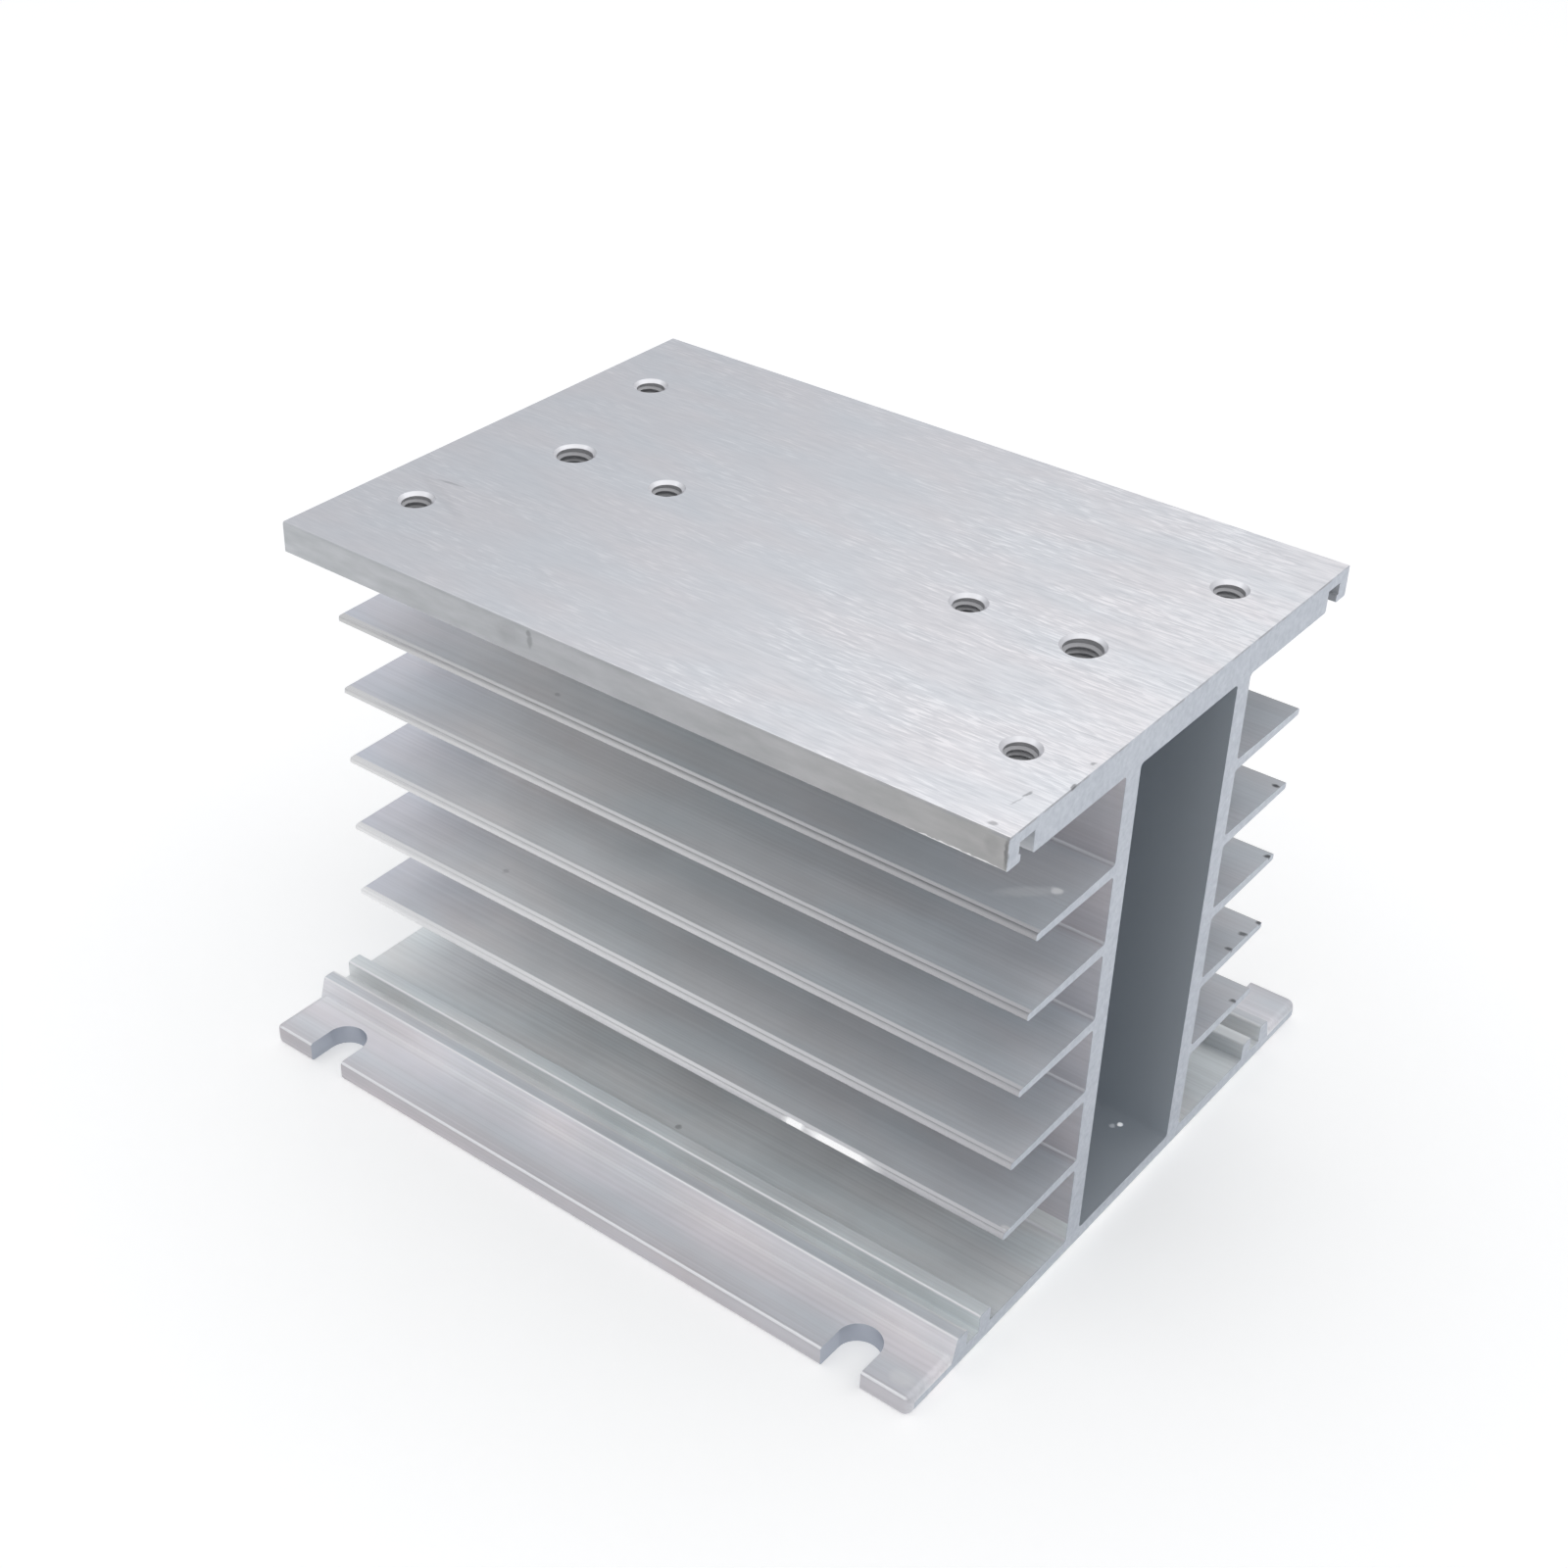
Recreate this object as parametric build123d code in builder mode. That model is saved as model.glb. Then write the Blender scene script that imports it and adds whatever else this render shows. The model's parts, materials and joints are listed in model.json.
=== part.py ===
"""Extruded aluminium heat sink for a solid-state relay, with a hollow spine and side fins.

One piece: an extrusion is sawn to length, slotted at its feet, brushed, drilled and tapped.
The origin is the centre of the underside. X runs along the extrusion, Z points up.
"""
import os

from build123d import *

# Overall sizes, in millimetres
length = 110.0                # along the extrusion, between the two sawn ends
height = 79.0                 # from the underside to the brushed face
base_width = 98.4             # across the two feet
plate_width = 78.4            # across the device plate and its lips

# Walls of the extruded section
base_thick = 3.0
plate_thick = 4.7
web_thick = 3.2
tunnel_width = 22.6           # between the two webs

# Side fins, each tapered from root to tip
fin_span = 62.2               # across the tips of a pair of fins
fin_root_thick = 1.6
fin_tip_thick = 1.0
fin_pitch = 11.3
fin_end_gap = 9.0             # least space kept above the top fin and below the bottom one

# Lip along each long edge of the plate, with a hooked foot and a groove behind it
lip_thick = 2.2
lip_height = 4.4              # from the brushed face to the lip's foot
lip_hook = 0.4                # how far the foot stands into the groove
lip_hook_height = 1.1
groove_width = 3.0
groove_roof = 1.7             # metal left above the groove

# Two low ribs beside each foot
foot_land = 9.1               # flat part of the foot, from its outer edge to the outer rib
rib_height = 2.5
outer_rib_width = 2.1         # at its top
outer_rib_slope = 0.7         # how far its outer flank leans out at the bottom
rib_groove_width = 2.7        # between the two ribs
inner_rib_width = 2.4

# Open slots in the feet
slot_width = 6.0
slot_spacing = 89.4           # along the extrusion
slot_reach = 3.9              # from the foot's outer edge to the centre of the slot's round end

# Tapped holes in the plate, drawn at the thread's nominal radius
small_thread_radius = 2.0
large_thread_radius = 2.5
small_sink_radius = 2.5
large_sink_radius = 2.95
sink_angle = 90.0
relay_spacing_x = 93.0        # four small holes near the corners
relay_spacing_y = 47.4
single_spacing = 47.6         # two small holes on the centre line
module_spacing = 80.0         # two large holes on the centre line
drill_runout = 1.0            # how far a drill passes below the plate

# Softened corners
foot_corner_radius = 1.2
foot_edge_radius = 0.5
fin_tip_radius = 0.35
fin_root_radius = 0.5
web_root_radius = 0.6
lip_edge_radius = 0.25
plate_edge_radius = 0.3
rib_edge_radius = 0.4
wall_share = 0.45             # most of a wall that one rounded corner may take up
same_place = 0.01             # corners of the section nearer than this are at one place

# Levels and half widths that follow from the sizes above
plate_underside = height - plate_thick
clear_height = plate_underside - base_thick
web_inner = tunnel_width / 2
web_outer = web_inner + web_thick
fin_tip = fin_span / 2
lip_outer = plate_width / 2
lip_inner = lip_outer - lip_thick
lip_foot = height - lip_height
hook_inner = lip_inner - lip_hook
groove_inner = lip_inner - groove_width
foot_edge = base_width / 2
rib_top = base_thick + rib_height
outer_rib_foot = foot_edge - foot_land
outer_rib_outer = outer_rib_foot - outer_rib_slope
outer_rib_inner = outer_rib_outer - outer_rib_width
inner_rib_outer = outer_rib_inner - rib_groove_width
inner_rib_inner = inner_rib_outer - inner_rib_width

# The fins are spread evenly about the middle of the clear height
fin_count = int((clear_height - 2 * fin_end_gap) // fin_pitch) + 1
middle_level = base_thick + clear_height / 2
fin_levels = [
    middle_level + fin_pitch * (index - (fin_count - 1) / 2) for index in range(fin_count)
]

# Outlines of one side, as (across, up)
fin_outline = [
    (web_inner, -fin_root_thick / 2),
    (web_outer, -fin_root_thick / 2),
    (fin_tip, -fin_tip_thick / 2),
    (fin_tip, fin_tip_thick / 2),
    (web_outer, fin_root_thick / 2),
    (web_inner, fin_root_thick / 2),
]
outer_rib_outline = [
    (outer_rib_inner, 0),
    (outer_rib_foot, 0),
    (outer_rib_foot, base_thick),
    (outer_rib_outer, rib_top),
    (outer_rib_inner, rib_top),
]


def across(vertex, place):
    """True where a corner of the section lies at this distance from the middle, on either side."""
    return abs(abs(vertex.X) - place) < same_place


def up(vertex, level):
    """True where a corner of the section lies at this level."""
    return abs(vertex.Y - level) < same_place


def at_web_end(vertex):
    """True where a corner of the section lies in the floor or under the plate."""
    return up(vertex, base_thick) or up(vertex, plate_underside)


def held(radius, *walls):
    """The radius, or less where one of the walls that it is cut from is too thin for it."""
    return min(radius, *[wall_share * wall for wall in walls])


# Corners of the section that are softened, each with its radius
soft_corners = [
    (lambda v: across(v, fin_tip), held(fin_tip_radius, fin_tip_thick)),
    (lambda v: across(v, web_outer) and not at_web_end(v), fin_root_radius),
    (lambda v: (across(v, web_outer) or across(v, web_inner)) and at_web_end(v), web_root_radius),
    (lambda v: up(v, rib_top), held(rib_edge_radius, inner_rib_width, outer_rib_width)),
    (lambda v: across(v, foot_edge), held(foot_edge_radius, base_thick)),
    (lambda v: across(v, lip_outer) and up(v, lip_foot), held(lip_edge_radius, lip_thick)),
    (lambda v: across(v, hook_inner), held(lip_edge_radius, lip_hook_height)),
    (lambda v: across(v, lip_outer) and up(v, height), held(plate_edge_radius, lip_thick)),
    (lambda v: across(v, groove_inner) and up(v, plate_underside), plate_edge_radius),
]

with BuildPart() as heat_sink:
    # The section: one side is drawn, and mirrored to make the other
    with BuildSketch(Plane.YZ) as section:
        # The base with its two ribs
        Rectangle(foot_edge, base_thick, align=(Align.MIN, Align.MIN))
        with Locations((inner_rib_inner, 0)):
            Rectangle(inner_rib_width, rib_top, align=(Align.MIN, Align.MIN))
        Polygon(*outer_rib_outline, align=None)
        # The web with its fins
        with Locations((web_inner, 0)):
            Rectangle(web_thick, height, align=(Align.MIN, Align.MIN))
        with Locations(*[(0, level) for level in fin_levels]):
            Polygon(*fin_outline, align=None)
        # The device plate, thinner over the groove, and the lip with its hooked foot
        with Locations((0, height)):
            Rectangle(groove_inner, plate_thick, align=(Align.MIN, Align.MAX))
            Rectangle(lip_outer, groove_roof, align=(Align.MIN, Align.MAX))
        with Locations((lip_outer, height)):
            Rectangle(lip_thick, lip_height, align=(Align.MAX, Align.MAX))
        with Locations((lip_outer, lip_foot)):
            Rectangle(lip_thick + lip_hook, lip_hook_height, align=(Align.MAX, Align.MIN))
        mirror(about=Plane.YZ)

        for chosen, radius in soft_corners:
            fillet(section.vertices().filter_by(chosen), radius)
    extrude(amount=length / 2, both=True)

    # Four slots, open at the outer edge of the feet
    with BuildSketch(Plane.XY) as slots:
        with GridLocations(slot_spacing, base_width, 2, 2):
            SlotCenterToCenter(2 * slot_reach, slot_width, rotation=90)
    extrude(amount=base_thick, mode=Mode.SUBTRACT)

    # The corners of the feet, rounded where the saw left them sharp
    foot_corners = heat_sink.edges().filter_by(Axis.Z).filter_by(
        lambda e: abs(abs(e.center().X) - length / 2) < same_place
        and abs(abs(e.center().Y) - foot_edge) < same_place
    )
    fillet(foot_corners, foot_corner_radius)

    # Tapped holes for one three-phase relay, one single relay or one power module
    with Locations(Plane.XY.offset(height)):
        with GridLocations(relay_spacing_x, relay_spacing_y, 2, 2):
            CounterSinkHole(
                small_thread_radius, small_sink_radius, plate_thick + drill_runout, sink_angle
            )
        with GridLocations(single_spacing, 0, 2, 1):
            CounterSinkHole(
                small_thread_radius, small_sink_radius, plate_thick + drill_runout, sink_angle
            )
        with GridLocations(module_spacing, 0, 2, 1):
            CounterSinkHole(
                large_thread_radius, large_sink_radius, plate_thick + drill_runout, sink_angle
            )

heat_sink.part.label = "heat_sink"

os.makedirs("parts", exist_ok=True)
export_step(heat_sink.part, "parts/heat_sink.step")
box = heat_sink.part.bounding_box()
print("heat_sink", heat_sink.part.volume, box.min, box.max, "fins a side", fin_count)
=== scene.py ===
# %% [markdown]
# # An extruded heat sink, finished in Blender
# The part is one length of aluminium extrusion: a flat plate for the device, a hollow spine with
# thin fins on both sides, and a ribbed base with open slots. Its solid comes packed from the CAD
# model and is the fixed frame of this scene. Blender adds what the solid leaves out: the thread in
# each hole, and the ways in which the metal was worked, each of which leaves its own surface.

# %% Load the frame
import math

import bmesh
import bpy
from mathutils import Matrix, Vector
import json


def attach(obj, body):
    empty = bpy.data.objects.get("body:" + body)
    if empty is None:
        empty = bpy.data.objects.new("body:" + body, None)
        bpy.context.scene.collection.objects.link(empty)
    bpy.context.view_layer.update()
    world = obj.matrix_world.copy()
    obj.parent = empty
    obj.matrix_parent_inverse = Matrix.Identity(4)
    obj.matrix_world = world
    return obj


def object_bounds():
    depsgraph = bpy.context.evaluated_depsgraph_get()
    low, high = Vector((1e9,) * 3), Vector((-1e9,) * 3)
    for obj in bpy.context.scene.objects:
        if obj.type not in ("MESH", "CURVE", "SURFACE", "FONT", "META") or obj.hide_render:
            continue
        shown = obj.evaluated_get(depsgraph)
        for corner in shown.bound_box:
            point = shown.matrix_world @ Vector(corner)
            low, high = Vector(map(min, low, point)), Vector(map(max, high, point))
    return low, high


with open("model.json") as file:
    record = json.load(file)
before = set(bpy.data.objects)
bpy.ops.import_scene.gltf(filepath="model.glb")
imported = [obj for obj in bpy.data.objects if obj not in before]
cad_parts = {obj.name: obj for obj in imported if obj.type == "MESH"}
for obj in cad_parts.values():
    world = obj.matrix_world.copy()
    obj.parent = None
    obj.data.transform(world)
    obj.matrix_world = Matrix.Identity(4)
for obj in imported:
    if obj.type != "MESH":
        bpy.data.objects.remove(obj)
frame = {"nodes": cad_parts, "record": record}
cad_low, cad_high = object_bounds()

mm = 0.001
half_length = cad_high.x
foot_edge = cad_high.y
height = cad_high.z
print("solid", [round(size / mm, 1) for size in cad_high - cad_low], "mm")

# %% [markdown]
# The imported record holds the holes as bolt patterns, so their places and radii are read from
# there. Each pattern has two or four holes, spaced evenly about the middle of the plate.

# %% Find the tapped holes
patterns = {}
for mount in frame["record"]["mounts"]:
    if mount["kind"] == "bolt_pattern":
        dims = mount["dims"]
        corner = Vector((dims["spacing_x_mm"], dims.get("spacing_y_mm", 0), 0)) * mm / 2
        patterns[mount["name"].removesuffix("_holes")] = (corner, dims["hole_r_mm"] * mm)

holes = [
    (f"{name}_{side}{row}", Vector((sign_x * corner.x, sign_y * corner.y, height)), radius)
    for name, (corner, radius) in patterns.items()
    for side, sign_x in (("left_", -1), ("right_", 1))
    for row, sign_y in ((("front", -1), ("back", 1)) if corner.y else (("middle", 1),))
]
for name, centre, radius in holes:
    print(name, [round(v / mm, 2) for v in centre], "radius", round(radius / mm, 2), "mm")

# %% [markdown]
# A tapped hole isn't a smooth bore. The tap leaves a ridge that winds down the wall, and from
# above its turns show as thin arcs in the dark of the hole. The solid has the bore at the
# thread's outer radius, so one ridge per hole completes it. A helix could be a curve with a
# bevel, but spinning the ridge's section with a small drop at each step gives clean flanks and
# flat ends. The section is buried a little in the wall, so that no gap shows.

# %% Wind a ridge down each hole
plate_thick = 4.7 * mm
sink_depth = 0.5 * mm                 # the countersink takes away the start of the first turn
pitches = {2.0: 0.7 * mm, 2.5: 0.8 * mm}    # by the hole's radius in millimetres
ridge_depth = 0.54                    # of the pitch, as on any metric thread
ridge_foot = 0.44                     # of the pitch, half the ridge's width at the wall
ridge_crest = 0.07                    # of the pitch, half its width at the crest
bite = 0.04 * mm                      # how far the ridge is sunk in the wall
steps_a_turn = 40
crease = math.radians(30)             # edges that turn by more than this stay sharp


def wind_ridge(name, centre, radius):
    """One thread ridge, from under the countersink to just above the plate's underside."""
    pitch = pitches[round(radius / mm, 1)]
    crest = radius - ridge_depth * pitch
    drop = plate_thick - sink_depth - 2 * ridge_foot * pitch
    turns = drop / pitch
    steps = round(steps_a_turn * turns)
    start = centre.z - sink_depth - ridge_foot * pitch
    section = [
        (radius + bite, ridge_foot), (crest, ridge_crest),
        (crest, -ridge_crest), (radius + bite, -ridge_foot),
    ]
    bm = bmesh.new()
    corners = [bm.verts.new((reach, 0, start + share * pitch)) for reach, share in section]
    face = bm.faces.new(corners)
    bmesh.ops.spin(
        bm, geom=[face, *face.verts, *face.edges], cent=(0, 0, 0), axis=(0, 0, 1),
        angle=-2 * math.pi * turns, steps=steps, dvec=(0, 0, -drop / steps), use_duplicate=False,
    )
    bmesh.ops.translate(bm, verts=bm.verts, vec=(centre.x, centre.y, 0))
    bmesh.ops.recalc_face_normals(bm, faces=bm.faces)
    for face in bm.faces:
        face.smooth = True
    for edge in bm.edges:
        edge.smooth = len(edge.link_faces) == 2 and edge.calc_face_angle() < crease
    open_edges = sum(len(edge.link_faces) != 2 for edge in bm.edges)
    mesh = bpy.data.meshes.new(name)
    bm.to_mesh(mesh)
    bm.free()
    ridge = bpy.data.objects.new(name, mesh)
    bpy.context.scene.collection.objects.link(ridge)
    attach(ridge, "root")
    print(name, round(turns, 1), "turns,", len(mesh.polygons), "faces,", open_edges, "open edges")
    return ridge


threads = [wind_ridge(f"thread_{name}", centre, radius) for name, centre, radius in holes]

# %% [markdown]
# Every material below is made from the same few kinds of node, so one helper adds a node, sets
# it and links it. Colours are picked as sRGB hex values, which a shader needs in linear form.

# %% Helpers for materials
def add_node(tree, kind, sockets=None, **settings):
    """One shader node. sockets maps an input to a plain value or to another node's output."""
    node = tree.nodes.new("ShaderNode" + kind)
    for setting, value in settings.items():
        setattr(node, setting, value)
    for key, value in (sockets or {}).items():
        if isinstance(value, bpy.types.NodeSocket):
            tree.links.new(value, node.inputs[key])
        else:
            node.inputs[key].default_value = value
    return node


def linear(hex_colour):
    """An sRGB hex colour as the linear red, green, blue and alpha that a shader needs."""
    channels = [int(hex_colour[place:place + 2], 16) / 255 for place in (1, 3, 5)]
    return (*[c / 12.92 if c <= 0.04045 else ((c + 0.055) / 1.055) ** 2.4 for c in channels], 1)


print("mid grey in linear form:", [round(channel, 3) for channel in linear("#808080")])

# %% [markdown]
# The whole part is one alloy, so it has one material. What changes from face to face is how the
# metal was worked: drawn through the die, brushed, sawn or drilled, and on several faces painted
# light and shade as well. Each finish is built below as three things, a colour, a roughness and a
# relief in metres, and masks lay one over another. All of them read Object coordinates, so every
# pattern has a real size and stays put on the part. Both sides of the part are alike, so most masks
# read coordinates folded over by their absolute value: how far a point is from the middle along the
# bar, and how far out.

# %% Start the aluminium
metal = bpy.data.materials.new("aluminium_extruded_brushed_sawn")
metal.use_nodes = True
tree = metal.node_tree
tree.nodes.clear()
place = add_node(tree, "TexCoord").outputs["Object"]
along, sideways, up = add_node(tree, "SeparateXYZ", {0: place}).outputs
folded = add_node(tree, "VectorMath", {0: place}, operation="ABSOLUTE").outputs[0]
from_middle, out, _ = add_node(tree, "SeparateXYZ", {0: folded}).outputs
geometry = add_node(tree, "NewGeometry")
facing = add_node(tree, "SeparateXYZ", {0: geometry.outputs["Normal"]})
slack = 0.03 * mm                     # a point that is this near a face counts as on it
print(metal.name, "starts with", len(tree.nodes), "nodes")

# %% [markdown]
# Two helpers draw the patterns. What a die, a belt or a saw leaves could be an image of scratches,
# but noise needs no image and has a real size, and it is stretched into streaks where the tool ran
# along the bar. What changes slowly, such as the painted light and shade along the fins, is a run
# of tones along one coordinate.

# %% Helpers for streaks and tones
def streaks(length, width, turn=0.0, start=0.0, detail=2.0):
    """Noise from 0 to 1, drawn out along X into streaks of about this length and width."""
    drawn = add_node(tree, "Mapping", {
        "Vector": place, "Location": (start, start, start),
        "Rotation": (0, 0, math.radians(turn)), "Scale": (length, width, width),
    }, vector_type="TEXTURE")
    noise = add_node(tree, "TexNoise", {"Vector": drawn.outputs[0], "Scale": 1, "Detail": detail})
    return noise.outputs["Fac"]


def tones(value, stops):
    """Colours along one coordinate, from pairs of a place in millimetres and a hex colour."""
    first, last = stops[0][0], stops[-1][0]
    share = add_node(tree, "MapRange", {
        "Value": value, "From Min": first * mm, "From Max": last * mm,
    })
    run = add_node(tree, "ValToRGB", {"Fac": share.outputs[0]})
    for spot, _ in stops[1:-1]:
        run.color_ramp.elements.new((spot - first) / (last - first))
    for stop, (_, tone) in zip(run.color_ramp.elements, stops):
        stop.color = linear(tone)
    return run.outputs["Color"]


print("streaks lie along X, over a bar of", round(2 * half_length / mm), "mm")

# %% [markdown]
# A mask is 1 where a finish lies and 0 elsewhere. It could be painted, but it would have to be
# painted again whenever a size changed, so each is a test on a point's place, and where several
# have to hold they are multiplied. Tints are multiplied in the same way, so that each of them
# still shows. The helpers build in whichever tree of nodes the name tree stands for at the time.

# %% Helpers for masks and tints
def between(value, low, high):
    """A mask that is 1 where the coordinate lies between the two places, in metres."""
    return add_node(tree, "Math", {0: value, 1: (low + high) / 2, 2: (high - low) / 2},
                    operation="COMPARE").outputs[0]


def product(*factors):
    """All the factors multiplied, whether they are masks, strengths or depths."""
    result = factors[0]
    for factor in factors[1:]:
        result = add_node(tree, "Math", {0: result, 1: factor}, operation="MULTIPLY").outputs[0]
    return result


def tinted(colour, *tints):
    """The colour seen through each of the tints."""
    for tint in tints:
        colour = add_node(tree, "Mix", {0: 1.0, 6: colour, 7: tint},
                          data_type="RGBA", blend_type="MULTIPLY").outputs[2]
    return colour


print("a mask reaches", round(slack / mm, 2), "mm past the face that it is for")

# %% [markdown]
# An extrusion is pushed through a steel die, and every nick in the die draws a fine line along
# the whole bar. The lines could be cut in the mesh, but they are hundredths of a millimetre deep,
# so long streaks of noise about as wide as real die lines do it. They show most on the base. Pale
# oxide clouds the surface, and warmer and cooler patches lie across it. Two slow runs of tone go
# over it all, and both are painted light and shade: one along the bar, lightest towards the left
# end, where the light reaches in between the fins, and darker towards the right; and one across,
# with painted shade on the webs between the fins and a little on the tips. The skin is matt, so
# the metal reads as soft grey with hardly a reflection.

# %% Extruded finish
die_lines = streaks(120 * mm, 0.4 * mm, detail=3)
clouds = streaks(14 * mm, 9 * mm, start=57 * mm, detail=3)
drawn_tone = add_node(tree, "Math", {0: die_lines, 1: clouds}, operation="ADD").outputs[0]
drawn_share = add_node(tree, "MapRange", {
    "Value": drawn_tone, "From Min": 0.75, "From Max": 1.25,
}).outputs[0]
base_top = 6 * mm                     # just above the ribs
on_base = add_node(tree, "Math", {0: up, 1: base_top}, operation="LESS_THAN").outputs[0]
dark_line = add_node(tree, "Mix", {0: on_base, 6: linear("#F5F5F5"), 7: linear("#F2F2F2")},
                     data_type="RGBA").outputs[2]
line_tone = add_node(tree, "Mix", {0: drawn_share, 6: dark_line, 7: linear("#FFFFFF")},
                     data_type="RGBA").outputs[2]
warmth = add_node(tree, "MapRange", {
    "Value": streaks(16 * mm, 7 * mm, start=31 * mm, detail=1), "From Min": 0.35, "From Max": 0.65,
}).outputs[0]
patches = add_node(tree, "Mix", {0: warmth, 6: linear("#FAFCFD"), 7: linear("#FDFCFC")},
                   data_type="RGBA").outputs[2]
# Painted light and shade: the skin is lightest towards the left end, darker to the right, and
# darker on the webs.
skin_painted_light_and_shade = tinted(
    tones(along, [
        (-55, "#F0F1F7"), (-44, "#F9FAFC"), (-34, "#FFFFFF"), (0, "#F3F5F6"), (35, "#EFF1F3"),
        (55, "#EEF0F3"),
    ]),
    tones(out, [(14.4, "#F5F0F1"), (15.6, "#FFFFFF"), (31, "#F6F6F6")]),
)
print("die lines, clouds and patches:", len(tree.nodes), "nodes so far")

# %% [markdown]
# Bands of painted light and shade lie across the base: the floor beside the spine, the two ribs
# with the groove between them, the sloping flank, and the foot, which runs from a warm painted
# highlight at the flank to a cooler painted shade at its edge.

# %% Bands across the base
die_relief = 0.007 * mm
# Painted light and shade, band by band across the base.
base_painted_light_and_shade = tones(out, [
    (15, "#FCFEFE"), (30, "#F7F9F9"), (32.3, "#F1F4F5"), (34.7, "#F9FBFB"), (37.6, "#FFFFFF"),
    (38.0, "#ECEEF1"), (39.2, "#ECEEF1"), (39.5, "#FFFDFF"), (40.8, "#FFFEFF"), (41.4, "#FDFBFD"),
    (43.5, "#FBF9FC"), (46, "#F2F3F6"), (48.5, "#EEEDF0"), (49.2, "#E1DEE1"),
])
drawn_colour = add_node(tree, "Mix", {0: on_base, 6: skin_painted_light_and_shade, 7: base_painted_light_and_shade},
                        data_type="RGBA").outputs[2]
extruded = (
    tinted(drawn_colour, line_tone, patches),
    add_node(tree, "MapRange", {"Value": clouds, "To Min": 0.66, "To Max": 0.8}).outputs[0],
    product(die_lines, die_relief),
)
print("extruded finish:", len(tree.nodes), "nodes so far")

# %% [markdown]
# The walls of the tunnel in the spine are painted an even dark, bluer shade. The slots were
# punched, and their walls are painted darker and bluer, as shade.

# %% Tunnel and slots
web_inner = 11.3 * mm
base_thick = 3.0 * mm
plate_underside = height - plate_thick
in_tunnel = product(
    add_node(tree, "Math", {0: out, 1: web_inner + slack}, operation="LESS_THAN").outputs[0],
    between(up, base_thick - slack, plate_underside + slack),
)
# Painted shade on the walls of the tunnel.
tunnel_painted_shade = (linear("#D7DCE1"), 0.72, None)

slot_middle = 44.7 * mm
slot_reach = 3.1 * mm                 # half the slot's width, and a little over
slot_end = 42.0 * mm                  # just inside the slot's round end
steepness = add_node(tree, "Math", {0: facing.outputs["Z"]}, operation="ABSOLUTE").outputs[0]
in_slot = product(
    between(from_middle, slot_middle - slot_reach, slot_middle + slot_reach),
    between(out, slot_end, foot_edge - slack),
    add_node(tree, "Math", {0: steepness, 1: 0.5}, operation="LESS_THAN").outputs[0],
)
# Painted shade on the walls of the slots.
slot_painted_shade = (linear("#BBC0CA"), 0.5, 0)
print("tunnel between", [round(level / mm, 1) for level in (base_thick, plate_underside)], "mm")

# %% [markdown]
# Stacking and handling rub the long rounded edges of the ribs and feet bright. Those edges could
# be found by their places, but there are many. On them, and only there, the normal leans between
# outwards and up, so the product of those two parts of it finds them all.

# %% Rubbed edges
outwards = add_node(tree, "Math", {0: sideways}, operation="SIGN").outputs[0]
lean = product(facing.outputs["Y"], outwards, facing.outputs["Z"])
on_edge = add_node(tree, "MapRange", {
    "Value": lean, "From Min": 0.3, "From Max": 0.45,
}).outputs[0]
rubbed = (linear("#F6F6F8"), 0.42, 0)
print("rubbed edges:", len(tree.nodes), "nodes so far")

# %% [markdown]
# The tips of the fins are worn all over, which leaves them smoother than the skin. Their tone is
# painted light and shade: lightest at the left end and on the lower fins, where the light falls on
# them best, and darker towards the right end and on the fins higher up under the plate. On the side
# that shows most handling, the wear goes round the upper edge onto the fin's top. A bevel would
# make that, but it is too slight for one, so it is a narrow strip of the top with the same painted
# tone, and the last step of the material tips its normal outwards.

# %% Fin tips
fin_tip = 31.1 * mm
tip_depth = 0.35 * mm
lowest_fin, highest_fin = 15 * mm, 62 * mm
on_fins = between(up, lowest_fin, highest_fin)
on_tip = product(between(out, fin_tip - tip_depth, fin_tip + tip_depth), on_fins)
# Painted light and shade on the fin tips: darker towards the right end and higher up.
tip_painted_light_and_shade = tinted(
    tones(along, [(-55, "#FFFFFF"), (0, "#F8F8F9"), (55, "#D8D8DB")]),
    tones(up, [(16, "#F9F9F9"), (39, "#EBEBEB"), (61, "#D8D8D8")]),
)
tip_wear_and_painted_shade = (tip_painted_light_and_shade, 0.55, 0)

wear_reach = 0.95 * mm                # how far the wear reaches in from the tip, on the fin's top
on_worn_edge = product(
    between(sideways, -fin_tip + tip_depth, -fin_tip + wear_reach), on_fins,
    add_node(tree, "Math", {0: facing.outputs["Z"], 1: 0.5}, operation="GREATER_THAN").outputs[0],
)
edge_wear_and_painted_shade = (tip_painted_light_and_shade, 0.3, 0)
print("fin tips:", len(tree.nodes), "nodes so far")

# %% [markdown]
# The brush doesn't reach the outer face of the plate's lip, which is dull and has small stains
# drawn out along the bar. Its tone is painted shade: darker than the skin, and darker towards the
# right end.

# %% Dull lip
lip_outer = 39.2 * mm
lip_rounding = 0.35 * mm
lip_foot = 74.5 * mm
on_lip = product(between(out, lip_outer - lip_rounding, lip_outer + lip_rounding),
                 between(up, lip_foot, height - slack))
# Painted shade on the lip, darker towards the right end.
lip_painted_shade = tones(along, [(-55, "#E6E8EA"), (0, "#D6D7D9"), (55, "#D2D1D0")])
lip_stains = add_node(tree, "Mix", {
    0: streaks(5 * mm, 1.2 * mm, start=19 * mm, detail=4),
    6: linear("#D8DADA"), 7: linear("#FFFEFF"),
}, data_type="RGBA").outputs[2]
dull_lip_and_painted_shade = (tinted(lip_painted_shade, lip_stains), 0.66, None)
print("dull lip:", len(tree.nodes), "nodes so far")

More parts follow.
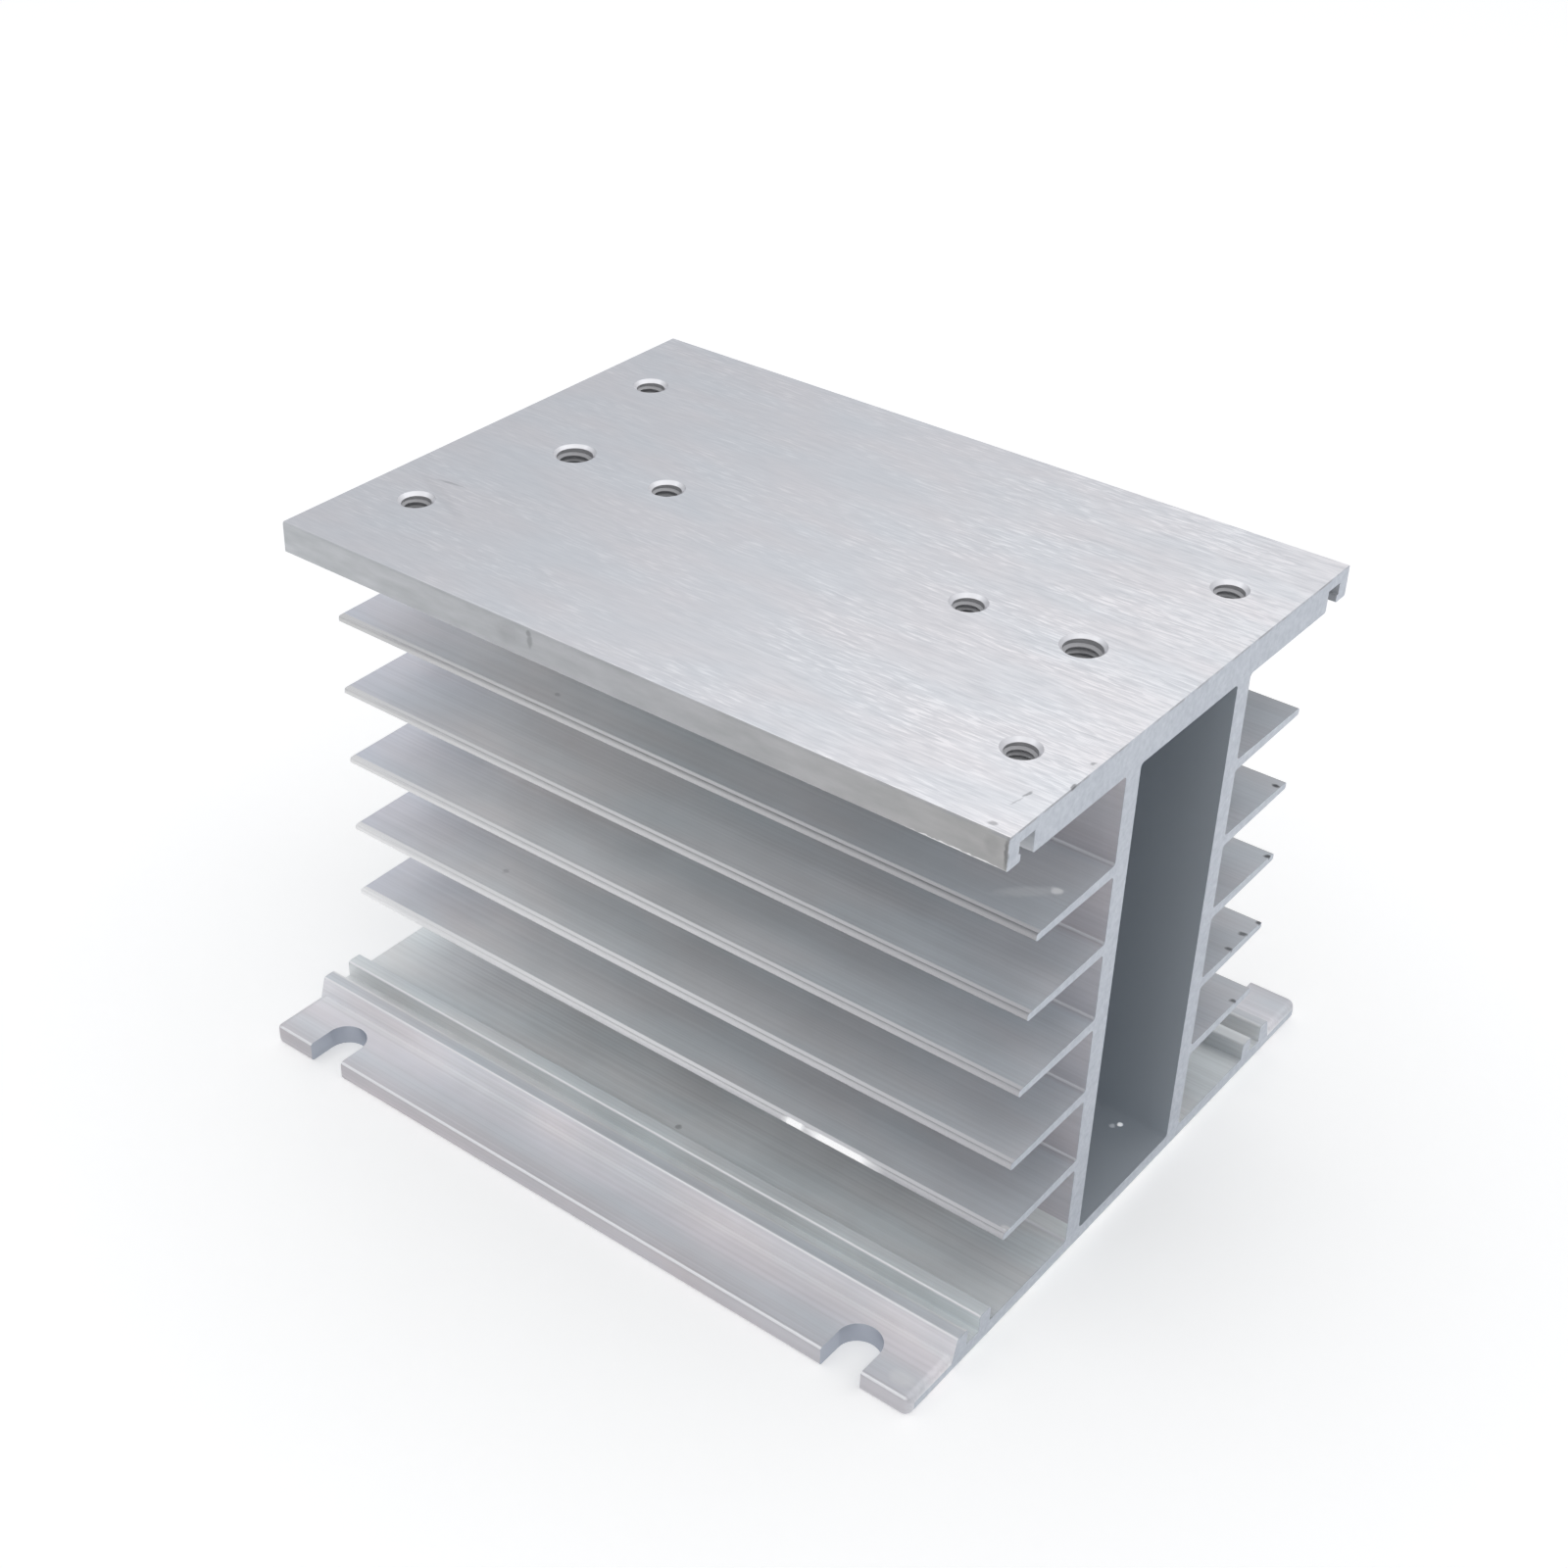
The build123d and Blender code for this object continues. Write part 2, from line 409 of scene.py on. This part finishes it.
# %% [markdown]
# The device face is brushed along the bar so that it is flat and takes paste well. An abrasive
# belt leaves short overlapping scratches. Real ones are finer than a tenth of a millimetre, too
# fine to show here, so they are drawn three to four times as wide. Two faint layers lie a few
# degrees apart, as the belt wandered. Over them are painted highlights: short bright flecks in
# loose clusters, for the scratches that catch the light. Both grow bolder towards the right end,
# in colour and in relief, and in colour that is painted light, as the light there is brighter.

# %% Scratches of the brush
fine_brush = streaks(3 * mm, 0.35 * mm, turn=1)
cross_brush = streaks(9 * mm, 0.8 * mm, turn=-2, start=23 * mm)
layer_strength = 0.5
both_layers = add_node(tree, "Mix", {0: 0.5, 2: fine_brush, 3: cross_brush}).outputs[0]
layers = add_node(tree, "Math", {0: both_layers, 1: 0.5}, operation="SUBTRACT").outputs[0]

# Painted highlights: the flecks of the scratches that catch the light.
painted_scratch_highlights = add_node(tree, "MapRange", {
    "Value": streaks(3 * mm, 0.4 * mm, start=47 * mm), "From Min": 0.5, "From Max": 0.72,
}).outputs[0]
clusters = add_node(tree, "MapRange", {
    "Value": streaks(16 * mm, 6 * mm, start=63 * mm, detail=1),
    "From Min": 0.38, "From Max": 0.58, "To Min": 0.15,
}).outputs[0]
painted_fleck_strength = 0.28
scratches_and_painted_highlights = add_node(tree, "Math", {
    0: product(painted_scratch_highlights, clusters), 1: painted_fleck_strength, 2: product(layers, layer_strength),
}, operation="MULTIPLY_ADD").outputs[0]
# Painted light: the scratches grow bolder towards the brighter right end.
boldness_by_painted_light = add_node(tree, "MapRange", {
    "Value": along, "From Min": 0, "From Max": half_length, "To Min": 0.3, "To Max": 1.2,
}).outputs[0]
scratches_and_painted_highlights = product(scratches_and_painted_highlights, boldness_by_painted_light)
print("scratches:", len(tree.nodes), "nodes so far")

# %% [markdown]
# Towards the right end the face is painted brighter: painted light, as the light from above falls
# on it more there. The scratches are added to that slow rise, and the sum picks the tone. Slow
# changes in roughness keep the shine from looking painted on.

# %% Brushed finish
slow_brush = streaks(40 * mm, 7 * mm, start=71 * mm)
to_right = add_node(tree, "MapRange", {
    "Value": along, "From Min": -half_length, "From Max": half_length,
}).outputs[0]
# Painted light: the face grows brighter towards the right end.
painted_rise_curve = 1.8                      # above 1, the rise comes late
painted_rise_strength = 0.17
brush_relief = 0.05 * mm
painted_light_rise = add_node(tree, "Math", {0: to_right, 1: painted_rise_curve}, operation="POWER").outputs[0]
brighter = add_node(tree, "Math", {0: painted_light_rise, 1: painted_rise_strength, 2: scratches_and_painted_highlights},
                    operation="MULTIPLY_ADD").outputs[0]
brush_share = add_node(tree, "MapRange", {
    "Value": brighter, "From Min": -0.085, "From Max": 0.26,
}).outputs[0]
brush_tone_and_painted_light = add_node(tree, "Mix", {0: brush_share, 6: linear("#C9CBD0"), 7: linear("#FDFCFE")},
                        data_type="RGBA").outputs[2]
brushed = (
    tinted(brush_tone_and_painted_light, patches),
    add_node(tree, "MapRange", {"Value": slow_brush, "To Min": 0.38, "To Max": 0.48}).outputs[0],
    product(scratches_and_painted_highlights, brush_relief),
)
print("brushed finish:", len(tree.nodes), "nodes so far")

# %% [markdown]
# A saw cuts the bar to length. The blade tears as much as it cuts, so the ends are matt, a
# little bluish beside the brushed face, and finely mottled.

# %% Sawn finish
grain = streaks(0.7 * mm, 0.7 * mm, detail=3)
grain_relief = 0.03 * mm
saw_patches = streaks(9 * mm, 9 * mm, start=11 * mm, detail=2)
sawn_tone = add_node(tree, "Mix", {0: grain, 6: linear("#B3B9C2"), 7: linear("#D7DBE2")},
                     data_type="RGBA").outputs[2]
sawn = (
    sawn_tone,
    add_node(tree, "MapRange", {"Value": saw_patches, "To Min": 0.5, "To Max": 0.62}).outputs[0],
    product(grain, grain_relief),
)
print("sawn finish:", len(tree.nodes), "nodes so far")

# %% [markdown]
# The walls of the drilled and tapped holes are darker and duller than the skin, and the countersink
# is a bright turned cone. The hole patterns are the same on both sides of the middle, so the folded
# coordinates find all eight holes with three distances.

# %% Drilled and turned finishes
sink_reach = 0.7 * mm                 # from the bore's wall to beyond the countersink's rim
flat = add_node(tree, "VectorMath", {0: folded, 1: (1, 1, 0)}, operation="MULTIPLY").outputs[0]
from_bore = 1.0                       # farther than any hole, to start from
for corner, radius in patterns.values():
    away = add_node(tree, "VectorMath", {0: flat, 1: corner}, operation="DISTANCE").outputs["Value"]
    away = add_node(tree, "Math", {0: away, 1: radius}, operation="SUBTRACT").outputs[0]
    from_bore = add_node(tree, "Math", {0: from_bore, 1: away}, operation="MINIMUM").outputs[0]
in_hole = product(
    add_node(tree, "Math", {0: from_bore, 1: sink_reach}, operation="LESS_THAN").outputs[0],
    between(up, plate_underside + slack, height + slack),
)
in_cone = between(up, height - sink_depth, height + slack)
drilled = (linear("#BABABC"), 0.6, 0)
turned = (linear("#EFEFF2"), 0.38, 0)
print("holes by", len(patterns), "distances:", len(tree.nodes), "nodes so far")

# %% [markdown]
# A thin dull burr, broken in places, runs along the plate's top edge on the sawn ends and on the
# right of the lip. It is too thin to need a shape of its own.

# %% Burr along the plate's edge
on_top = between(up, height - slack, height + slack)
on_end = between(from_middle, half_length - slack, half_length + slack)
burr_width = 0.35 * mm
burr_breaks = add_node(tree, "MapRange", {
    "Value": streaks(2.5 * mm, 2.5 * mm, start=83 * mm), "From Min": 0.4, "From Max": 0.6,
}).outputs[0]
lip_burr = add_node(tree, "MapRange", {
    "Value": to_right, "From Min": 0.65, "From Max": 1.0, "To Max": 0.6,
}).outputs[0]
on_burr = product(
    between(up, height - burr_width, height), burr_breaks,
    add_node(tree, "Math", {0: on_end, 1: lip_burr}, operation="MAXIMUM").outputs[0],
)
burr = (linear("#B0B2B7"), 0.6, None)
print("burr:", len(tree.nodes), "nodes so far")

# %% [markdown]
# The finishes go on in the order in which the shop made them, so each hides what it cut away:
# the skin with its wear and its painted light and shade first, then the sawn ends, the holes and
# the brushed face. The masks are plain tests on a point's place: the brushed face is all that lies
# at the full height, and the sawn ends are all that lies at half the length.

# %% Lay the finishes over each other
def lay(mask, below, above):
    """One finish over another where the mask is 1. Each is a colour, a roughness and a relief,
    and a finish without a relief of its own takes the one below."""
    colour = add_node(tree, "Mix", {0: mask, 6: below[0], 7: above[0]}, data_type="RGBA")
    rest = [
        below[i] if above[i] is None
        else add_node(tree, "Mix", {0: mask, 2: below[i], 3: above[i]}).outputs[0]
        for i in (1, 2)
    ]
    return colour.outputs[2], *rest


finish = extruded
for mask, layer in (
    (on_edge, rubbed), (in_tunnel, tunnel_painted_shade), (in_slot, slot_painted_shade), (on_tip, tip_wear_and_painted_shade),
    (on_worn_edge, edge_wear_and_painted_shade), (on_lip, dull_lip_and_painted_shade), (on_end, sawn), (on_burr, burr),
    (in_hole, lay(in_cone, drilled, turned)), (on_top, brushed),
):
    finish = lay(mask, finish, layer)
print("finishes laid:", len(tree.nodes), "nodes so far")

# %% [markdown]
# The part has been in a box with others, and it has small marks all over. A mark could be a
# decal or painted by hand, but here each is an ellipsoid about its place, which needs no image.
# A little noise added to the coordinates makes its rim ragged.

# %% A mask for marks
wobble_grain = 0.8 * mm
wobble_reach = 0.5 * mm
wobble = add_node(tree, "TexNoise", {"Vector": place, "Scale": 1 / wobble_grain, "Detail": 1})
wobble = add_node(tree, "VectorMath", {0: wobble.outputs["Color"], 1: (0.5, 0.5, 0.5)},
                  operation="SUBTRACT").outputs[0]
ragged = add_node(tree, "VectorMath", {0: wobble, 1: (wobble_reach,) * 3, 2: place},
                  operation="MULTIPLY_ADD").outputs[0]
rim_start, rim_end = 0.6, 1.25        # of the half sizes, where a mark starts to fade and ends


def marked(marks):
    """The strongest mark at each point. Each has a centre and half sizes, both in millimetres,
    a turn about Z in degrees and a strength."""
    strongest = 0
    for centre, half_sizes, turn, strength in marks:
        local = add_node(tree, "Mapping", {
            "Vector": ragged, "Location": Vector(centre) * mm,
            "Rotation": (0, 0, math.radians(turn)), "Scale": Vector(half_sizes) * mm,
        }, vector_type="TEXTURE")
        reach = add_node(tree, "VectorMath", {0: local.outputs[0]}, operation="LENGTH")
        share = add_node(tree, "MapRange", {
            "Value": reach.outputs["Value"], "From Min": rim_start, "From Max": rim_end,
            "To Min": strength, "To Max": 0,
        }).outputs[0]
        strongest = add_node(tree, "Math", {0: strongest, 1: share}, operation="MAXIMUM").outputs[0]
    return strongest


print("a mark fades over", [rim_start, rim_end], "of its half sizes")

# %% [markdown]
# Dents and nicks hold dirt, which makes them dark whichever way the light falls. The dark corner at
# the lip's right end and the faint mark beside it are painted shade. Scuffs and rubbed corners are
# the reverse: fresh metal, paler than the film around it. The bright rim under the lip is a painted
# highlight.

# %% Dark and pale marks
dark_marks = [
    ((51.95, -31.0, 79), (0.8, 0.2, 0.3), 84, 0.45),       # scratch by the front corner
    ((51.8, -32.9, 79), (1.1, 0.14, 0.3), 80, 0.25),       # its tail
    ((52.1, -38.0, 79), (0.55, 0.35, 0.3), 20, 0.4),       # dent in the front corner
    ((55.0, -26.6, 79), (0.3, 0.6, 0.4), 0, 0.6),          # nicks in the sawn edge
    ((54.3, -21.3, 79), (0.45, 0.22, 0.3), 60, 0.45),
    ((-46.3, -17.4, 79), (2.3, 0.22, 0.3), 9, 0.25),       # faint scratch at the left
    ((-45.1, -20.6, 79), (7.7, 0.9, 0.3), -27, 0.07),      # smear beside it
    ((-12.4, -39.2, 77.4), (0.4, 0.4, 1.0), 0, 0.3),       # nick in the lip
    ((-12.6, -39.2, 78.3), (0.4, 0.4, 0.4), 0, 0.35),
    ((-15.9, -39.2, 77.0), (1.8, 0.4, 1.4), 0, 0.1),       # smear beside it
    # Painted shade at the lip's right end, in this mark and the next.
    ((54.75, -39.2, 76.9), (0.25, 0.4, 2.0), 0, 0.5),      # dark corner at the lip's end
    ((53.0, -39.2, 77.2), (1.0, 0.4, 1.2), 0, 0.15),       # faint shade beside it
    ((-19.0, -27.4, 61.9), (0.45, 0.35, 0.4), 0, 0.25),    # specks on the fins
    ((-30.9, -25.9, 28.0), (0.45, 0.55, 0.4), 0, 0.18),
    ((3.05, -29.4, 3.0), (0.4, 0.5, 0.3), 0, 0.35),        # speck on the base
    ((54.4, 29.3, 50.5), (0.5, 0.4, 0.4), 0, 0.85),        # dirt at the ends of the back fins
    ((54.7, 29.8, 39.2), (0.5, 0.4, 0.4), 30, 0.85),
    ((54.8, 30.5, 27.9), (0.4, 0.5, 0.4), 0, 0.8),
    ((54.4, 26.8, 27.9), (0.6, 0.4, 0.4), 30, 0.7),
    ((54.6, 22.5, 27.9), (0.5, 0.4, 0.4), 0, 0.7),
    ((54.6, 26.8, 16.6), (0.5, 0.4, 0.4), 0, 0.7),
]
pale_marks = [
    # Painted highlight: the bright rim under the lip.
    ((48.5, -39.2, 74.75), (6.0, 0.5, 0.15), 0, 0.9),      # bright rim under the lip
    ((54.5, -29.9, 16.6), (0.5, 0.4, 0.4), 0, 0.8),        # corner of the lowest fin
    ((52.0, -46.8, 3.0), (1.6, 1.2, 0.3), 0, 0.35),        # scuff on the front foot
]
# The dark marks are dirt, but the two at the lip's right end are painted shade.
dirt_and_painted_shade = (linear("#54565A"), 0.6, None)
# The pale marks are bare metal, but the rim under the lip is a painted highlight.
bare_metal_and_painted_highlight = (linear("#FFFFFF"), 0.55, None)
finish = lay(marked(dark_marks), finish, dirt_and_painted_shade)
finish = lay(marked(pale_marks), finish, bare_metal_and_painted_highlight)
print(len(dark_marks), "dark and", len(pale_marks), "pale marks")

# %% [markdown]
# Three marks shine. The tip of the lowest fin was knocked flat, the top fin has a scuff with a
# tail, and a pit in the tunnel's floor catches the light. They are bare metal, smoother than what
# is around them, and they face the light because their normals are tipped in the next step.

# %% Bright marks
knocked = product(on_tip, marked([
    ((23.4, -31.1, 16.05), (1.7, 2.0, 2.0), 0, 1.0),
    ((30.5, -31.1, 16.05), (5.6, 2.0, 2.0), 0, 1.0),
]))
scuffed = marked([
    ((52.4, -22.9, 61.9), (0.8, 0.7, 0.4), 0, 0.8),
    ((50.0, -25.0, 61.9), (4.0, 1.0, 0.4), 42, 0.3),       # its tail
])
pitted = marked([
    ((48.9, 9.4, 3.0), (0.4, 0.4, 0.4), 0, 0.9),
    ((48.2, 8.5, 3.0), (0.4, 0.5, 0.4), 0, 0.35),          # a fainter one beside it
])
for mask, roughness in ((knocked, 0.25), (scuffed, 0.5), (pitted, 0.3)):
    finish = lay(mask, finish, (linear("#FFFFFF"), roughness, None))
print("marks laid:", len(tree.nodes), "nodes so far")

# %% [markdown]
# The relief becomes a bump, and where the metal was knocked, scuffed, pitted or worn round, the
# normal is tipped on top of that. The blow or the wear left each such face turned upwards and
# out towards the near corner of the part, and the directions below say how far.

# %% Tip the worn faces
tipped = add_node(tree, "Bump", {"Height": finish[2], "Distance": 1.0, "Strength": 1.0}).outputs[0]
for mask, direction in (
    (knocked, (0.27, -0.52, 0.81)), (scuffed, (0.20, -0.77, 0.60)),
    (pitted, (0.70, -0.39, 0.60)), (on_worn_edge, (0.10, -0.78, 0.62)),
):
    tipped = add_node(tree, "Mix", {0: mask, 4: tipped, 5: direction},
                      data_type="VECTOR").outputs[1]
print("normals done:", len(tree.nodes), "nodes so far")

# %% [markdown]
# Brushing and extrusion both leave their lines along the bar, which spread a highlight across
# them and keep it narrow along them. The shader does this by its anisotropy, and its tangent is
# the direction of the spread: square to the bar and to the normal. On the sawn ends those two
# are parallel, so a small constant is added to give them a direction.

# %% Finish the aluminium
across_bar = add_node(tree, "VectorMath", {0: geometry.outputs["Normal"], 1: (1, 0, 0)},
                      operation="CROSS_PRODUCT").outputs[0]
spread = add_node(tree, "VectorMath", {0: across_bar, 1: (0, 0.01, 0.003)}, operation="ADD")
shader = add_node(tree, "BsdfPrincipled", {
    "Base Color": finish[0], "Metallic": 1.0, "Roughness": finish[1], "Anisotropic": 0.6,
    "Tangent": spread.outputs[0], "Normal": tipped,
})
add_node(tree, "OutputMaterial", {"Surface": shader.outputs["BSDF"]})
for piece in [*frame["nodes"].values(), *threads]:
    piece.data.materials.clear()
    piece.data.materials.append(metal)
print(len(tree.nodes), "nodes in the aluminium")

# %% [markdown]
# The camera stands where the photograph's camera stood. It was solved from the plate's corners
# and the holes. The principal point is a little off the middle, which the shift puts right.

# %% Camera
frame_side = 1600
focal_pixels = 2423.0
centre_pixel = Vector((729.2, 784.8))
camera_data = bpy.data.cameras.new("camera")
camera_data.sensor_width = 36
camera_data.lens = camera_data.sensor_width * focal_pixels / frame_side
camera_data.shift_x = (frame_side / 2 - centre_pixel.x) / frame_side
camera_data.shift_y = (centre_pixel.y - frame_side / 2) / frame_side
camera_data.clip_start, camera_data.clip_end = 0.01, 20
camera = bpy.data.objects.new("camera", camera_data)
bpy.context.scene.collection.objects.link(camera)
bpy.context.scene.camera = camera
camera_place = Vector((156.05, -217.31, 219.14)) * mm
azimuth, elevation, roll = math.radians(38.200), math.radians(33.153), math.radians(1.036)
camera.matrix_world = (
    Matrix.Translation(camera_place)
    @ Matrix.Rotation(azimuth, 4, "Z")
    @ Matrix.Rotation(math.pi / 2 - elevation, 4, "X")
    @ Matrix.Rotation(roll, 4, "Z")
)
print("camera", round(camera_place.length / mm), "mm away, lens", round(camera_data.lens, 1), "mm")

# %% [markdown]
# Metal shows its surroundings, so the studio is part of the finish. The part stands on white
# paper. The paper glows a little for the rays that look at it, so that it reads as white and
# still keeps the part's shadow. More light would do that too, but it would bleach the metal.

# %% Paper
floor_size = 3.0
floor_mesh = bpy.data.meshes.new("floor")
bm = bmesh.new()
bmesh.ops.create_grid(bm, x_segments=1, y_segments=1, size=floor_size)
bm.to_mesh(floor_mesh)
bm.free()
floor = bpy.data.objects.new("floor", floor_mesh)
bpy.context.scene.collection.objects.link(floor)

paper = bpy.data.materials.new("white_paper")
paper.use_nodes = True
tree = paper.node_tree
tree.nodes.clear()
paper_glow = 0.28
path = add_node(tree, "LightPath")
shown = path.outputs["Is Camera Ray"]
for kind in ("Is Glossy Ray", "Is Transmission Ray"):
    shown = add_node(tree, "Math", {0: shown, 1: path.outputs[kind]},
                     operation="MAXIMUM").outputs[0]
matt = add_node(tree, "BsdfDiffuse", {"Color": linear("#F1F1F0")})
glow = add_node(tree, "Emission", {"Strength": product(shown, paper_glow)})
both = add_node(tree, "AddShader", {0: matt.outputs[0], 1: glow.outputs[0]})
add_node(tree, "OutputMaterial", {"Surface": both.outputs[0]})
floor_mesh.materials.append(paper)
print("paper with", len(tree.nodes), "nodes")

# %% [markdown]
# The sky is grey at the horizon and paler above, and one big soft box overhead lights the plate
# and the rubbed edges. Behind the box the sky is dim again, because the two add up, and the plate
# would turn white when it is seen from above. The Standard view transform shows each colour as it
# is written.

# %% Sky and soft box
world = bpy.data.worlds.new("studio")
bpy.context.scene.world = world
world.use_nodes = True
tree = world.node_tree
tree.nodes.clear()
horizon_light, high_light = 0.4, 0.91
behind_box = 0.42                     # the share of the sky's light that is left there
ray = add_node(tree, "SeparateXYZ", {0: add_node(tree, "TexCoord").outputs["Generated"]})
climb = add_node(tree, "MapRange", {
    "Value": ray.outputs["Z"], "From Min": 0.05, "From Max": 0.65,
    "To Min": horizon_light, "To Max": high_light,
}).outputs[0]
dimming = add_node(tree, "MapRange", {
    "Value": ray.outputs["Z"], "From Min": 0.69, "From Max": 0.87,
    "To Min": 1, "To Max": behind_box,
}).outputs[0]
sky = add_node(tree, "Background", {
    "Color": linear("#FBFCFF"), "Strength": product(climb, dimming),
})
add_node(tree, "OutputWorld", {"Surface": sky.outputs[0]})

soft_box_side = 1.5
soft_box_height = 1.0
soft_box_radiance = 0.65
lamp_data = bpy.data.lights.new("soft_box", "AREA")
lamp_data.shape = "SQUARE"
lamp_data.size = soft_box_side
lamp_data.energy = soft_box_radiance * math.pi * soft_box_side ** 2
lamp = bpy.data.objects.new("soft_box", lamp_data)
lamp.location = (0.0, 0.0, soft_box_height)
bpy.context.scene.collection.objects.link(lamp)
print("soft box", round(lamp_data.energy, 2), "W")

bpy.context.scene.view_settings.view_transform = "Standard"
